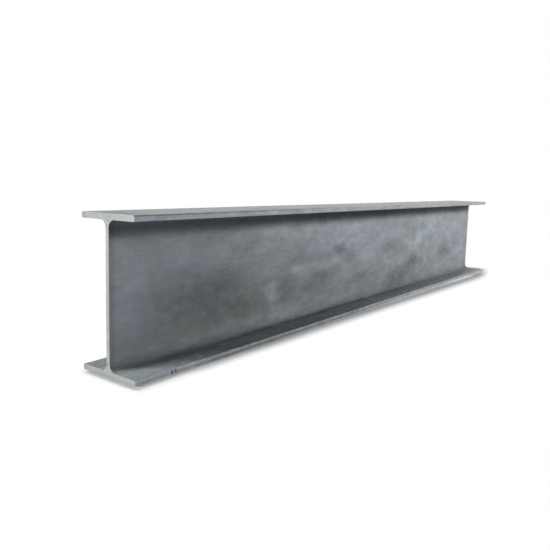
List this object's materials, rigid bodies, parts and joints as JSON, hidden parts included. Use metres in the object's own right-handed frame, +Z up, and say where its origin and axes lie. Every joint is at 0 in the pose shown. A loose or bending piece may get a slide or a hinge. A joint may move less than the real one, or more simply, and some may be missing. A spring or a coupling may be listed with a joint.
{
  "type": "steel i-beam",
  "caption": "Hot-rolled steel I-beam: parallel flanges joined by a thin web with filleted roots, cut square at each end, in dull grey mill scale.",
  "frame": {"origin": "on the outer face of the lower flange, below the middle of the beam's length", "axes": "+X along the beam, +Y across the flanges, +Z up through the web towards the upper flange"},
  "size_m": [1.3, 0.102, 0.206],
  "materials": {
    "mill_steel": "dull blue-grey mill scale, satin, with lighter bare steel on the sawn ends and along the flange edges"
  },
  "bodies": {
    "root": {"rolled_beam": "mill_steel"}
  },
  "joints": []
}
